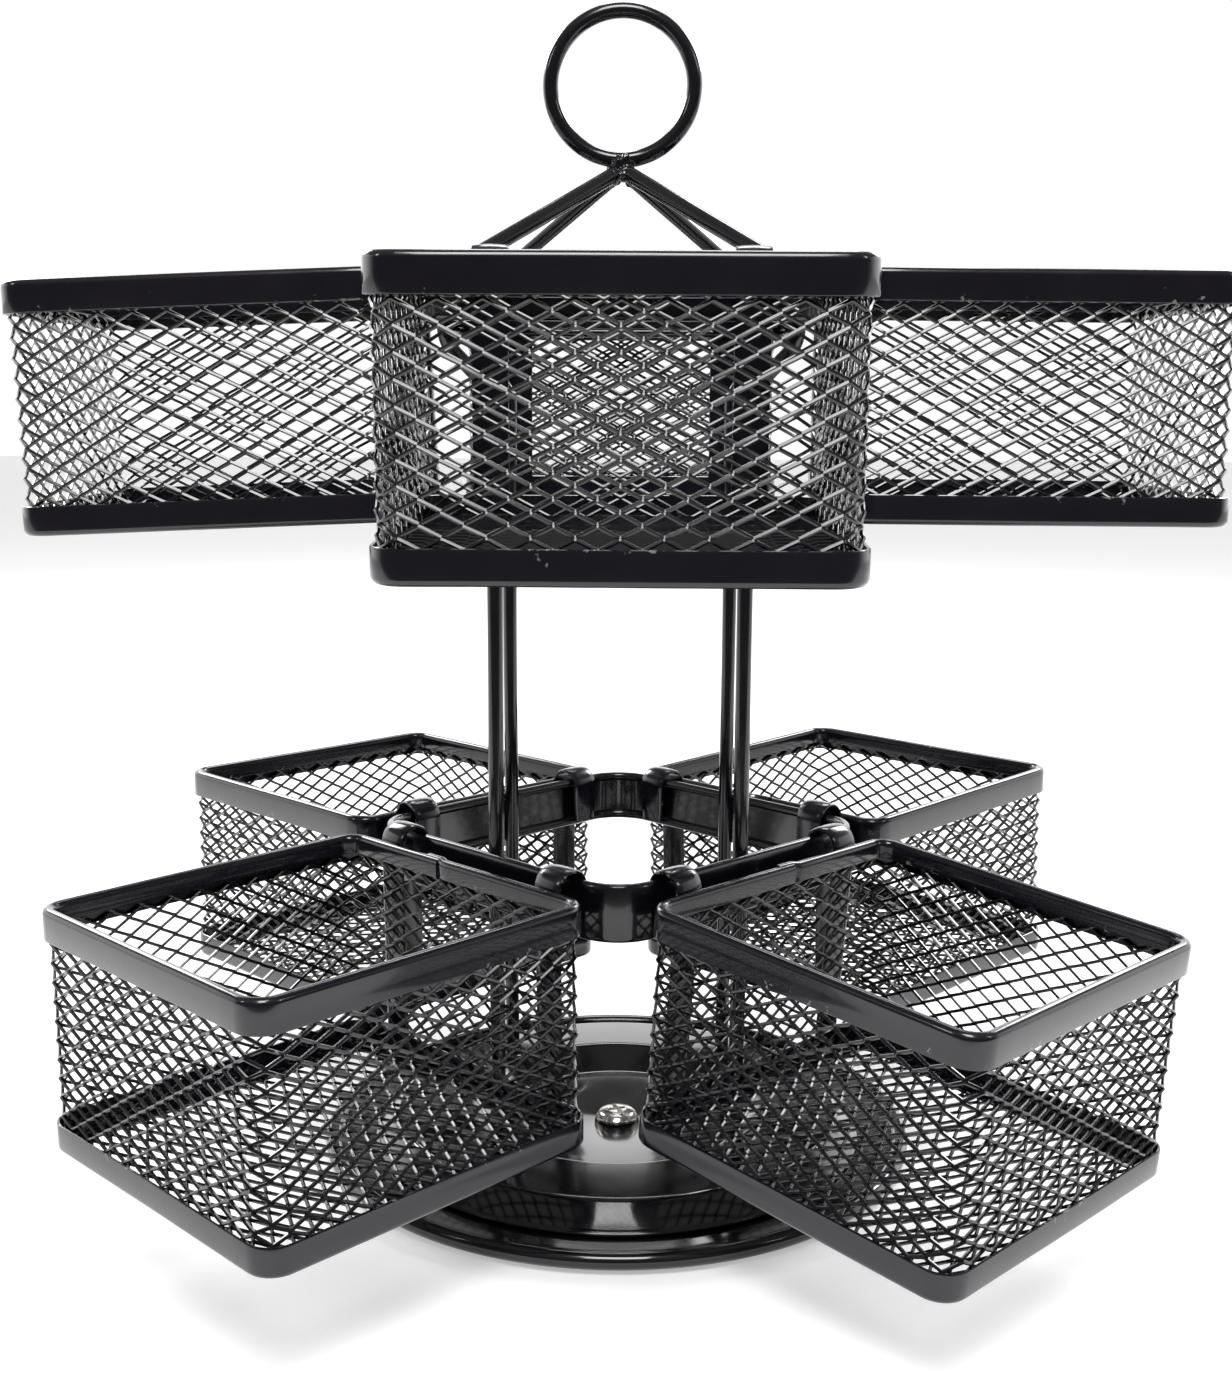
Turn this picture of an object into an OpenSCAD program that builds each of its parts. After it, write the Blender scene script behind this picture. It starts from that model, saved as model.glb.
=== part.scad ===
// Two-tier turning organizer: eight mesh baskets that hang by folded hooks on two square bands.
// The bands are welded to four bent wires that stand on a ball-bearing turntable.
// +Z is up. The origin is on the turning axis, on the surface that the foot pads rest on.

/* [Baskets] */
// Width of a basket along its band
basket_w = 93; // [84:1:94]
// Depth of a basket, from its inner rim outwards
basket_d = 92.5; // [70:0.5:100]
// Height of a basket
basket_h = 60; // [50:1:70]
// Outer radius of a basket's corners
basket_corner = 7; // [4:0.5:10]
// Height of the top rim strip
top_rim_h = 7.8; // [6:0.1:10]
// Height of the bottom rim strip
bottom_rim_h = 7.2; // [5:0.1:10]
// Thickness of the rim strip
rim_sheet = 0.8; // [0.6:0.1:1]
// Thickness of the expanded metal
mesh_t = 1.4; // [1:0.1:1.6]
// Height of the lower baskets' top rims
lower_rim_z = 89; // [85:1:95]
// Distance from the lower tier up to the upper tier
tier_step = 146; // [130:1:160]

/* [Hangers] */
// Width of a hanger strap
strap_w = 8.6; // [6:0.2:12]
// Thickness of a hanger strap
strap_t = 0.9; // [0.6:0.1:0.9]
// Distance of each strap from the middle of its basket
strap_offset = 30.3; // [24:0.1:31]
// How far the hook's free leg hangs down inside the band
hook_leg = 10.5; // [6:0.5:11]

/* [Sag of each basket] */
// Lower front left basket, degrees that its outer end hangs down
sag_lower_front_left = 1; // [-1.5:0.1:6]
// Lower front right basket
sag_lower_front_right = 4.9; // [-1.5:0.1:6]
// Lower back left basket
sag_lower_back_left = 0.1; // [-1.5:0.1:6]
// Lower back right basket
sag_lower_back_right = -1.5; // [-1.5:0.1:6]
// Upper front basket
sag_upper_front = 3.2; // [-1.5:0.1:6]
// Upper left basket
sag_upper_left = 2.5; // [-1.5:0.1:6]
// Upper right basket
sag_upper_right = 0.3; // [-1.5:0.1:6]
// Upper back basket
sag_upper_back = 1.5; // [-1.5:0.1:6]

/* [Frame] */
// Diameter of the wire of the uprights and the ring
wire_d = 4; // [3.6:0.1:4]
// Distance of each upright from the axis, between base and upper tier
upright_r = 44.12; // [44:0.01:44.5]
// Height of a band
band_h = 14.5; // [12:0.5:15]
// Thickness of the band's web
band_sheet = 1; // [0.8:0.1:1.2]
// Diameter of the rolled edges of a band
band_bead_d = 2.6; // [2:0.1:2.6]
// Outer corner radius of a band
band_corner = 13; // [11:0.5:13]
// Outer diameter of the ring handle
ring_d = 40.6; // [34:0.2:46]
// Height of the ring's centre
ring_z = 283; // [280:0.5:288]
// Height at which the wires meet
apex_z = 260.8; // [259:0.1:261]

/* [Turntable] */
// Height of the raised ring's top face
turntable_z = 10; // [9.6:0.1:10]
// Height of the sunk middle's top face
floor_z = 4.4; // [4.4:0.1:4.8]
// Radius of the sunk flat middle
floor_r = 33.5; // [26:0.5:34]
// Inner radius of the raised ring's flat
ring_flat_in = 41.4; // [40:0.1:41.5]
// Outer radius of the raised ring's flat
ring_flat_out = 60; // [59:0.5:61]
// Radius of the skirt's lower edge
skirt_r = 67.4; // [65:0.1:68]
// Thickness of the pressed steel
pan_sheet = 0.8; // [0.6:0.1:0.8]

/* [Base] */
// Outer diameter of the base pan over its bead
base_d = 162; // [156:1:170]
// Diameter of the rolled bead
base_bead_d = 4.4; // [4:0.2:5]
// Height of the base pan's floor, top face
base_floor_z = 2.8; // [2.8:0.1:3]
// Number of foot pads
pad_count = 6; // [3:1:8]
// Diameter of a foot pad
pad_d = 12; // [8:1:14]

/* [Bearing] */
// Ball diameter
ball_d = 5; // [4.4:0.1:5]
// Number of balls
ball_count = 16; // [8:1:20]
// Radius of the ball circle
ball_circle_r = 53; // [50:0.5:54]

/* [Pivot] */
// Thread diameter of the pivot screw
screw_d = 6; // [4:0.1:6]
// Head diameter of the pivot screw
screw_head_d = 12; // [10:0.1:13]

/* [Hidden] */
$fn = 96;

black = [0.07, 0.07, 0.08];
dark_steel = [0.25, 0.25, 0.27];
bright_steel = [0.75, 0.74, 0.7];
rubber = [0.16, 0.16, 0.16];
nylon = [0.85, 0.85, 0.8];

// Compass bearing of each berth, degrees counted from +X towards +Y
BERTHS = [
    ["lower_front_left", 225, 0, sag_lower_front_left],
    ["lower_front_right", 315, 0, sag_lower_front_right],
    ["lower_back_left", 135, 0, sag_lower_back_left],
    ["lower_back_right", 45, 0, sag_lower_back_right],
    ["upper_front", 270, 1, sag_upper_front],
    ["upper_left", 180, 1, sag_upper_left],
    ["upper_right", 0, 1, sag_upper_right],
    ["upper_back", 90, 1, sag_upper_back]
];

// Rim: a strip folded over the mesh, so its legs and the mesh fill its thickness
rim_fold = 2 * rim_sheet + mesh_t;
fold_r = rim_fold / 2;
inner_leg_h = 5;
flange_w = 5;

// Hanger: the hook's half circle spans the band with play on both sides
wire_r = wire_d / 2;
bead_r = band_bead_d / 2;
band_in = upright_r + wire_r;
band_out = band_in + band_bead_d;
hook_play = 0.62;
hook_in = band_in - hook_play - strap_t;
hook_r = 5;
hook_mid = hook_in + hook_r;
basket_in = hook_mid + hook_r;
hook_mid_z = lower_rim_z - 1;
hook_floor = basket_h - 1;
hook_touch = hook_r - strap_t - 0.3 - bead_r;
bead_z = hook_mid_z + sqrt(pow(hook_touch, 2) - pow(hook_mid - band_in - bead_r, 2));
band_bottom_z = bead_z + bead_r - band_h;

// Wires: radius and height of each corner of their centre line
corner_wire_r = (band_out - band_corner) * sqrt(2) + band_corner - band_bead_d - wire_r;
wire_bend = 7;
bend_lap = 0.3;
bend_swell = 0.02;
wire_end_r = 3;
corner_low_z = band_bottom_z + tier_step - 4.6;
corner_high_z = band_bottom_z + tier_step + 11;
wire_path = [
    [upright_r, turntable_z],
    [upright_r, corner_low_z - 11.6],
    [corner_wire_r, corner_low_z],
    [corner_wire_r, corner_high_z],
    [wire_end_r, apex_z]
];
ring_wire_r = ring_d / 2 - wire_r;

// Turntable and base
screw_r = screw_d / 2;
pan_bore_r = screw_r + 0.08;
head_h = 2.6;
head_dome_r = 10;
head_gap = 0.1;
head_z = floor_z + head_gap;
bead_centre_z = 0.8 + base_bead_d / 2;
bead_centre_r = base_d / 2 - base_bead_d / 2;
base_under_z = base_floor_z - pan_sheet;

// Bearing: both races are rings with a groove a little wider than the balls
ball_r = ball_d / 2;
race_groove_r = ball_r + 0.05;
race_low_z = base_floor_z;
race_high_z = turntable_z - pan_sheet;
ball_z = (race_low_z + race_high_z) / 2;
race_w = 8;
race_h = (race_high_z - race_low_z) / 2 - 1.7;
cage_t = 1.4;
cage_w = 9;

// Rectangle with round corners, centred on the origin
module round_rect(w, d, r) {
    square([w - 2 * r, d], center = true);
    square([w, d - 2 * r], center = true);
    for (sx = [-1, 1], sy = [-1, 1])
        translate([sx * (w / 2 - r), sy * (d / 2 - r)])
            circle(r);
}

// The child outline, drawn with x inwards from the outer face and y up, run round a round rectangle
module run_round(w, d, r) {
    for (side = [0, 1]) {
        reach = side == 0 ? d / 2 : w / 2;
        run = side == 0 ? w - 2 * r : d - 2 * r;
        for (turn = [0, 180])
            rotate([0, 0, turn + side * 90])
                translate([-run / 2, -reach, 0])
                    rotate([90, 0, 90])
                        linear_extrude(run)
                            children();
    }
    for (sx = [-1, 1], sy = [-1, 1])
        translate([sx * (w / 2 - r), sy * (d / 2 - r), 0])
            rotate([0, 0, sx > 0 ? (sy > 0 ? 0 : 270) : (sy > 0 ? 90 : 180)])
                rotate_extrude(angle = 90)
                    translate([r, 0])
                        mirror([1, 0])
                            children();
}

// Section of the top rim: outer leg, round fold, shorter inner leg; y = 0 is the basket's top
module top_rim_section() {
    translate([0, -top_rim_h])
        square([rim_sheet, top_rim_h - fold_r]);
    translate([rim_fold - rim_sheet, -inner_leg_h])
        square([rim_sheet, inner_leg_h - fold_r]);
    intersection() {
        translate([fold_r, -fold_r])
            difference() {
                circle(fold_r);
                circle(fold_r - rim_sheet);
            }
        translate([0, -fold_r])
            square([rim_fold, fold_r]);
    }
}

// Section of the bottom rim: outer leg with a flange turned in under the mesh floor
module bottom_rim_section() {
    translate([0, fold_r])
        square([rim_sheet, bottom_rim_h - fold_r]);
    translate([fold_r, 0])
        square([flange_w - fold_r, rim_sheet]);
    intersection() {
        translate([fold_r, fold_r])
            difference() {
                circle(fold_r);
                circle(fold_r - rim_sheet);
            }
        square([fold_r, fold_r]);
    }
}

// Section of a band: flat web with a rolled edge above and below; y = 0 is the lower edge
module band_section() {
    translate([0, bead_r])
        square([band_sheet, band_h - 2 * bead_r]);
    for (y = [bead_r, band_h - bead_r])
        translate([bead_r, y])
            circle(bead_r, $fn = 48);
}

// Puts a basket, drawn along +Y with its floor at z = 0, at its berth with its own sag
module at_berth(b) {
    lift = lower_rim_z - basket_h + b[2] * tier_step;
    rotate([0, 0, b[1] - 90])
        translate([0, hook_mid, lift + hook_floor])
            rotate([-b[3], 0, 0])
                translate([0, -hook_mid, -hook_floor])
                    children();
}

module basket_top_rim() {
    color(black)
        translate([0, basket_in + basket_d / 2, basket_h])
            run_round(basket_w, basket_d, basket_corner)
                top_rim_section();
}

module basket_bottom_rim() {
    color(black)
        translate([0, basket_in + basket_d / 2, 0])
            run_round(basket_w, basket_d, basket_corner)
                bottom_rim_section();
}

// Tub of expanded metal: one closed skin with the floor, open at the top
module basket_mesh() {
    skin_in = rim_sheet;
    top_z = basket_h - fold_r;
    color(black)
        translate([0, basket_in + basket_d / 2, 0])
            difference() {
                translate([0, 0, fold_r])
                    linear_extrude(top_z - fold_r)
                        round_rect(basket_w - 2 * skin_in, basket_d - 2 * skin_in, basket_corner - skin_in);
                translate([0, 0, fold_r + mesh_t])
                    linear_extrude(basket_h)
                        round_rect(
                            basket_w - 2 * (skin_in + mesh_t),
                            basket_d - 2 * (skin_in + mesh_t),
                            basket_corner - skin_in - mesh_t
                        );
            }
}

// One strap with its hook, seen from the side: x outwards from the axis, y up
module hanger_side() {
    translate([basket_in - strap_t, 1.5])
        square([strap_t, hook_floor - 1.5]);
    translate([hook_in, hook_floor - hook_leg])
        square([strap_t, hook_leg]);
    intersection() {
        translate([hook_mid, hook_floor])
            difference() {
                circle(hook_r);
                circle(hook_r - strap_t);
            }
        translate([hook_in, hook_floor])
            square([2 * hook_r, hook_r]);
    }
}

module basket_hangers() {
    color(black)
        for (side = [-1, 1])
            translate([side * strap_offset - strap_w / 2, 0, 0])
                rotate([90, 0, 90])
                    linear_extrude(strap_w)
                        hanger_side();
}

// Square band round the axis, flats facing the four directions of its own tier
module band(tier) {
    color(black)
        rotate([0, 0, tier == 0 ? 45 : 0])
            translate([0, 0, band_bottom_z + tier * tier_step])
                run_round(2 * band_out, 2 * band_out, band_corner)
                    band_section();
}

// Direction of travel from point a to point b, degrees up from the outward direction
function heading(a, b) = atan2(b[1] - a[1], b[0] - a[0]);
// Length that a bend of the wire takes off each of its two legs, for a turn of so many degrees
function bend_cut(turn) = wire_bend * tan(abs(turn) / 2);
function wrapped(a) = a > 180 ? a - 360 : (a < -180 ? a + 360 : a);
function turn_at(p, i) =
    i < 1 || i > len(p) - 2 ? 0 : wrapped(heading(p[i], p[i + 1]) - heading(p[i - 1], p[i]));

// Straight stretch number i of a wire path, reaching a little way into the bends at its ends
module straight_wire(p, i) {
    way = heading(p[i], p[i + 1]);
    from = i > 0 ? bend_cut(turn_at(p, i)) - bend_lap : 0;
    to = norm(p[i + 1] - p[i]) - (i < len(p) - 2 ? bend_cut(turn_at(p, i + 1)) - bend_lap : 0);
    translate([p[i][0], 0, p[i][1]])
        rotate([0, 90 - way, 0])
            translate([0, 0, from])
                cylinder(r = wire_r, h = to - from, $fn = 48);
}

// Round wire along a path of [outward, up] points, with every corner bent to wire_bend.
// The bends are a hair thicker than the wire, so that they close over the ends of the straights.
module bent_wire(p) {
    for (i = [0 : len(p) - 2])
        straight_wire(p, i);
    for (i = [1 : len(p) - 2]) {
        turn = turn_at(p, i);
        way = heading(p[i - 1], p[i]);
        left = turn > 0 ? 1 : -1;
        start = p[i] - bend_cut(turn) * [cos(way), sin(way)];
        centre = start + left * wire_bend * [-sin(way), cos(way)];
        first = left > 0 ? way - 90 : way + 90 + turn;
        translate([centre[0], 0, centre[1]])
            rotate([90, 0, 0])
                rotate([0, 0, first])
                    rotate_extrude(angle = abs(turn))
                        translate([wire_bend, 0])
                            circle(wire_r + bend_swell, $fn = 48);
    }
}

module upright(bearing) {
    color(black)
        rotate([0, 0, bearing])
            bent_wire(wire_path);
}

// Ring handle in the plane that faces front and back
module ring_handle() {
    color(black)
        translate([0, 0, ring_z])
            rotate([90, 0, 0])
                rotate_extrude()
                    translate([ring_wire_r, 0])
                        circle(wire_r, $fn = 48);
}

// Blob where the four wires meet under the ring, cut out where they pass
module apex_weld() {
    color(black)
        difference() {
            translate([0, 0, apex_z + 1.2])
                sphere(4.3);
            for (bearing = [45 : 90 : 315])
                rotate([0, 0, bearing])
                    straight_wire(wire_path, len(wire_path) - 2);
            ring_handle();
        }
}

// Fillets round the foot of each upright
module foot_welds() {
    color(black)
        for (bearing = [45 : 90 : 315])
            rotate([0, 0, bearing])
                translate([upright_r, 0, turntable_z])
                    difference() {
                        cylinder(r1 = wire_r + 1.3, r2 = wire_r + 0.2, h = 1.5);
                        translate([0, 0, -1])
                            cylinder(r = wire_r, h = 4, $fn = 48);
                    }
}

// Fillets beside each upright, in the corner between it and the web of the lower band
module lower_band_welds() {
    web_in = band_out - band_sheet;
    color(black)
        for (bearing = [45 : 90 : 315], side = [-1, 1])
            rotate([0, 0, bearing])
                translate([0, 0, band_bottom_z + band_bead_d])
                    difference() {
                        translate([web_in - 2.4, side * 1.9 - 1.4, 0.2])
                            cube([2.4, 2.8, band_h - 2 * band_bead_d - 0.4]);
                        translate([upright_r, 0, -1])
                            cylinder(r = wire_r, h = band_h, $fn = 48);
                        translate([web_in - 2.9, side * 4.1, -1])
                            cylinder(r = 2.2, h = band_h, $fn = 48);
                    }
}

// Short saddles that hold each wire in a corner of the upper band, at its middle
module upper_band_welds() {
    corner_in = corner_wire_r + wire_r + band_bead_d - band_sheet;
    color(black)
        for (bearing = [45 : 90 : 315])
            rotate([0, 0, bearing])
                translate([0, 0, band_bottom_z + tier_step + band_bead_d])
                    difference() {
                        translate([corner_wire_r, -1.6, 0.2])
                            cube([corner_in - corner_wire_r - 0.12, 3.2, 3.4]);
                        translate([corner_wire_r, 0, -1])
                            cylinder(r = wire_r, h = band_h, $fn = 48);
                    }
}

// Half section of the turntable pan's top face, from the bore to the skirt's lip
function pan_line(drop) = [
    [floor_r, floor_z - drop],
    [ring_flat_in - 2 + drop, turntable_z - 0.8 - drop],
    [ring_flat_in + drop, turntable_z - drop],
    [ring_flat_out - drop, turntable_z - drop],
    [ring_flat_out + 1.6 - drop, turntable_z - 1 - drop],
    [skirt_r - 1.5 - drop, floor_z - drop],
    [skirt_r - drop * 0.4, floor_z - 0.55 - drop * 0.9]
];

module turntable_pan() {
    top = pan_line(0);
    under = pan_line(pan_sheet);
    color(black)
        difference() {
            rotate_extrude()
                polygon(concat(
                    [[0, floor_z]],
                    top,
                    [for (i = [len(under) - 1 : -1 : 0]) under[i]],
                    [[0, floor_z - pan_sheet]]
                ));
            translate([0, 0, floor_z - 2])
                cylinder(r = pan_bore_r, h = 4);
        }
}

module base_pan() {
    color(black)
        rotate_extrude() {
            translate([screw_r + 0.6, base_under_z])
                square([bead_centre_r - screw_r - 0.6, pan_sheet]);
            translate([bead_centre_r, bead_centre_z])
                difference() {
                    circle(base_bead_d / 2, $fn = 64);
                    circle(base_bead_d / 2 - pan_sheet, $fn = 64);
                    translate([-base_bead_d, base_floor_z - bead_centre_z])
                        square([base_bead_d, 0.9]);
                }
        }
}

module foot_pads() {
    color(rubber)
        for (i = [0 : pad_count - 1])
            rotate([0, 0, 360 / pad_count * (i + 0.5)])
                translate([bead_centre_r - 14, 0, 0])
                    cylinder(d = pad_d, h = base_under_z);
}

// Ring with a ball groove in one face
module race(z) {
    translate([0, 0, z])
        difference() {
            rotate_extrude()
                translate([ball_circle_r - race_w / 2, 0])
                    square([race_w, race_h]);
            translate([0, 0, ball_z - z])
                rotate_extrude()
                    translate([ball_circle_r, 0])
                        circle(race_groove_r, $fn = 64);
        }
}

module lower_race() {
    color(dark_steel)
        race(race_low_z);
}

module upper_race() {
    color(dark_steel)
        race(race_high_z - race_h);
}

module bearing_balls() {
    color(bright_steel)
        for (i = [0 : ball_count - 1])
            rotate([0, 0, 360 / ball_count * i])
                translate([ball_circle_r, 0, ball_z])
                    sphere(ball_r, $fn = 32);
}

module ball_cage() {
    color(nylon)
        difference() {
            translate([0, 0, ball_z - cage_t / 2])
                rotate_extrude()
                    translate([ball_circle_r - cage_w / 2, 0])
                        square([cage_w, cage_t]);
            for (i = [0 : ball_count - 1])
                rotate([0, 0, 360 / ball_count * i])
                    translate([ball_circle_r, 0, ball_z - 3])
                        cylinder(r = ball_r + 0.1, h = 6, $fn = 32);
        }
}

// Washer that keeps the turntable off the base pan at the pivot
module spacer_washer() {
    color(nylon)
        translate([0, 0, base_floor_z])
            difference() {
                cylinder(r = 6.5, h = floor_z - pan_sheet - base_floor_z - 0.05);
                translate([0, 0, -1])
                    cylinder(r = screw_r, h = 4);
            }
}

// Flanged nut pressed into the base pan from below
module clinch_nut() {
    color(dark_steel)
        difference() {
            union() {
                translate([0, 0, 0.4])
                    cylinder(r = 5.2, h = base_under_z - 0.4);
                translate([0, 0, base_under_z])
                    cylinder(r = screw_r + 0.6, h = pan_sheet);
            }
            translate([0, 0, -1])
                cylinder(r = screw_r, h = 6);
        }
}

// Pan head screw with a cross recess
module pivot_screw() {
    color(bright_steel)
        difference() {
            union() {
                translate([0, 0, 0.4])
                    cylinder(r = screw_r, h = head_z - 0.4);
                translate([0, 0, head_z])
                    rotate_extrude()
                        intersection() {
                            translate([0, head_h - head_dome_r])
                                circle(head_dome_r, $fn = 160);
                            square([screw_head_d / 2, head_h]);
                        }
            }
            for (turn = [20, 110])
                rotate([0, 0, turn])
                    translate([-3.2, -0.65, head_z + head_h - 1.6])
                        cube([6.4, 1.3, 3]);
        }
}

base_pan();
foot_pads();
lower_race();
clinch_nut();
spacer_washer();
pivot_screw();
ball_cage();
bearing_balls();
turntable_pan();
upper_race();
band(0);  // lower_band
band(1);  // upper_band
upright(225);  // wire_front_left
upright(135);  // wire_back_left
upright(315);  // wire_front_right
upright(45);  // wire_back_right
ring_handle();
apex_weld();
foot_welds();
lower_band_welds();
upper_band_welds();
for (b = BERTHS) {
    at_berth(b) basket_top_rim();
    at_berth(b) basket_mesh();
    at_berth(b) basket_bottom_rim();
    at_berth(b) basket_hangers();
}
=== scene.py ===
import math

import bmesh
import bpy
import numpy as np
from mathutils import Matrix, Vector, noise


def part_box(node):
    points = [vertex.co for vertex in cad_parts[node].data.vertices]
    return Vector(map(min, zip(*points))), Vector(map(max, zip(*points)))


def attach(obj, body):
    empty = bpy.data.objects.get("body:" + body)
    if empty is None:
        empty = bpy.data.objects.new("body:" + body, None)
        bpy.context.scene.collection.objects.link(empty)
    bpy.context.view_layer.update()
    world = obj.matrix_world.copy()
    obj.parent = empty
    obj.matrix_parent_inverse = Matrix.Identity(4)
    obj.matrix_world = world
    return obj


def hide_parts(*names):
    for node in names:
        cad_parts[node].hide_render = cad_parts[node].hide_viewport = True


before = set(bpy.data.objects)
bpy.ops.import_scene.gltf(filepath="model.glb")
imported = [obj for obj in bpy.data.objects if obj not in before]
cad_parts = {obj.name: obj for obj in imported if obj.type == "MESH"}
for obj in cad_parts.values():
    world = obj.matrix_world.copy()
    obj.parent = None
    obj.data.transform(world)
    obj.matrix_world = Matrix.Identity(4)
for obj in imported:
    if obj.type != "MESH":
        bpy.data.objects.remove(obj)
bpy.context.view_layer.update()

MM = 0.001

# ---------------------------------------------------------------- dimensions, in millimetres
BASKET_W, BASKET_D, BASKET_H, BASKET_R = 93.0, 92.5, 60.0, 7.0
TOP_RIM_H, BOTTOM_RIM_H, RIM_T, FOLD_R, INNER_LEG, FLANGE = 7.8, 7.2, 0.8, 1.5, 5.0, 5.0
BASKET_IN, HOOK_MID, HOOK_FLOOR, HOOK_R, HOOK_LEG = 54.6, 49.6, 59.0, 5.0, 10.5
STRAP_W, STRAP_T, STRAP_X = 8.6, 0.9, 30.3
TIER = 146.0
LONG_WAY, SHORT_WAY = 8.2, 4.75
WIRE_R = 2.0
UPRIGHT_R, FOOT_Z, APEX_R, APEX_Z, WIRE_BEND = 44.12, 10.0, 2.6, 261.0, 7.2
BAND_OUT, BAND_H, BAND_R, BAND_T, BAND_BEAD = 48.72, 14.5, 13.0, 1.0, 1.3
PAN_T = 0.8
LOWER_TIER_Z = 29.0
DIAGONALS = (45, 135, 225, 315)
# For each basket: bearing in degrees, tier, and the angle by which it droops about its hooks.
BERTHS = {
    "lower_front_left": (225, 0, 1.0),
    "lower_front_right": (315, 0, 4.9),
    "lower_back_left": (135, 0, 0.1),
    "lower_back_right": (45, 0, -1.5),
    "upper_front": (270, 1, 3.2),
    "upper_left": (180, 1, 2.5),
    "upper_right": (0, 1, 0.3),
    "upper_back": (90, 1, 1.5),
}


# ---------------------------------------------------------------- helpers
def link(obj):
    bpy.context.scene.collection.objects.link(obj)
    return obj


def mark_wear_and_glint(mesh, wear_and_glint):
    """Stores how exposed each point is to knocks, from 0 to 1, for the paint to read; the paint turns it
    into chips and into painted highlights along those edges.
    """
    mesh.attributes.new("wear_and_glint", "FLOAT", "POINT").data.foreach_set("value", np.asarray(wear_and_glint, float))


def hand_over(name, mesh, material, body, nodes):
    mesh.materials.append(material)
    obj = link(bpy.data.objects.new(name, mesh))
    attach(obj, body)
    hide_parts(*nodes)
    return obj


def piece(name, verts, faces, material, body, nodes, wear_and_glint=None, sharp=35.0):
    """A mesh object in the row frame. verts are in millimetres; the edge mask marks points on exposed
    edges, for chipped paint and painted edge highlights.
    """
    mesh = bpy.data.meshes.new(name)
    mesh.from_pydata((np.asarray(verts, float) * MM).tolist(), [], [list(map(int, f)) for f in faces])
    mesh.update()
    bm = bmesh.new()
    bm.from_mesh(mesh)
    bmesh.ops.recalc_face_normals(bm, faces=bm.faces)
    for f in bm.faces:
        f.smooth = True
    for e in bm.edges:
        e.smooth = e.calc_face_angle(0.0) < math.radians(sharp)
    bm.to_mesh(mesh)
    bm.free()
    mark_wear_and_glint(mesh, np.zeros(len(mesh.vertices)) if wear_and_glint is None else wear_and_glint)
    return hand_over(name, mesh, material, body, nodes)


def grid_faces(n, m, close_n, close_m):
    """Quads over an n by m grid of points, row by row."""
    i = np.arange(n if close_n else n - 1)
    j = np.arange(m if close_m else m - 1)
    a, b = np.meshgrid(i, j, indexing="ij")
    a2, b2 = (a + 1) % n, (b + 1) % m
    return np.stack([a * m + b, a2 * m + b, a2 * m + b2, a * m + b2], -1).reshape(-1, 4)


def strip_section(line, t, ends=4):
    """Closed outline of thickness t round a polyline, with round ends. Returns points and an edge mask,
    for chipped paint and painted highlights along the ends.
    """
    line = np.asarray(line, float)
    step = np.diff(line, axis=0)
    step /= np.linalg.norm(step, axis=1)[:, None]
    tangent = np.vstack([step[:1], step[:-1] + step[1:], step[-1:]])
    tangent /= np.linalg.norm(tangent, axis=1)[:, None]
    normal = np.stack([-tangent[:, 1], tangent[:, 0]], 1)
    left, right = line + normal * t / 2, line - normal * t / 2

    def cap(centre, from_dir, sign):
        a0 = math.atan2(from_dir[1], from_dir[0])
        turn = [a0 + sign * math.pi * k / ends for k in range(1, ends)]
        return [centre + t / 2 * np.array([math.cos(a), math.sin(a)]) for a in turn]

    end_cap = cap(line[-1], normal[-1], -1)
    start_cap = cap(line[0], -normal[0], -1)
    points = np.array([*left, *end_cap, *right[::-1], *start_cap])
    wear_and_glint = np.array([0.0] * len(left) + [1.0] * len(end_cap) + [0.0] * len(right) + [1.0] * len(start_cap))
    wear_and_glint[[0, len(left) - 1]] = 0.8
    wear_and_glint[[len(left) + len(end_cap), len(points) - len(start_cap) - 1]] = 0.8
    return points, wear_and_glint


def arc(cx, cy, r, a0, a1, n):
    a = np.radians(np.linspace(a0, a1, n))
    return np.stack([cx + r * np.cos(a), cy + r * np.sin(a)], 1)


def round_rect_at(s, w, d, r):
    """Point and outward normal at length s round a rectangle with round corners, counted from the
    middle of its -Y side, anticlockwise."""
    straight_w, straight_d, quarter = w - 2 * r, d - 2 * r, math.pi * r / 2
    total = 2 * (straight_w + straight_d) + 4 * quarter
    s = (np.asarray(s, float) + straight_w / 2) % total
    x, y, nx, ny = (np.zeros_like(s) for _ in range(4))
    base = 0.0
    for k in range(4):
        run = straight_w if k % 2 == 0 else straight_d
        half_other = d / 2 if k % 2 == 0 else w / 2
        c, q = math.cos(math.pi / 2 * k), math.sin(math.pi / 2 * k)
        on = (s >= base) & (s < base + run)
        along, out = s - base - run / 2, half_other
        x = np.where(on, along * c + out * q, x)
        y = np.where(on, along * q - out * c, y)
        nx, ny = np.where(on, q, nx), np.where(on, -c, ny)
        base += run
        bend = (s >= base) & (s < base + quarter)
        a = -math.pi / 2 + math.pi / 2 * k + (s - base) / r
        centre = (run / 2, -(half_other - r))
        cx, cy = centre[0] * c - centre[1] * q, centre[0] * q + centre[1] * c
        x, y = np.where(bend, cx + r * np.cos(a), x), np.where(bend, cy + r * np.sin(a), y)
        nx, ny = np.where(bend, np.cos(a), nx), np.where(bend, np.sin(a), ny)
        base += quarter
    return x, y, nx, ny, total


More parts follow.
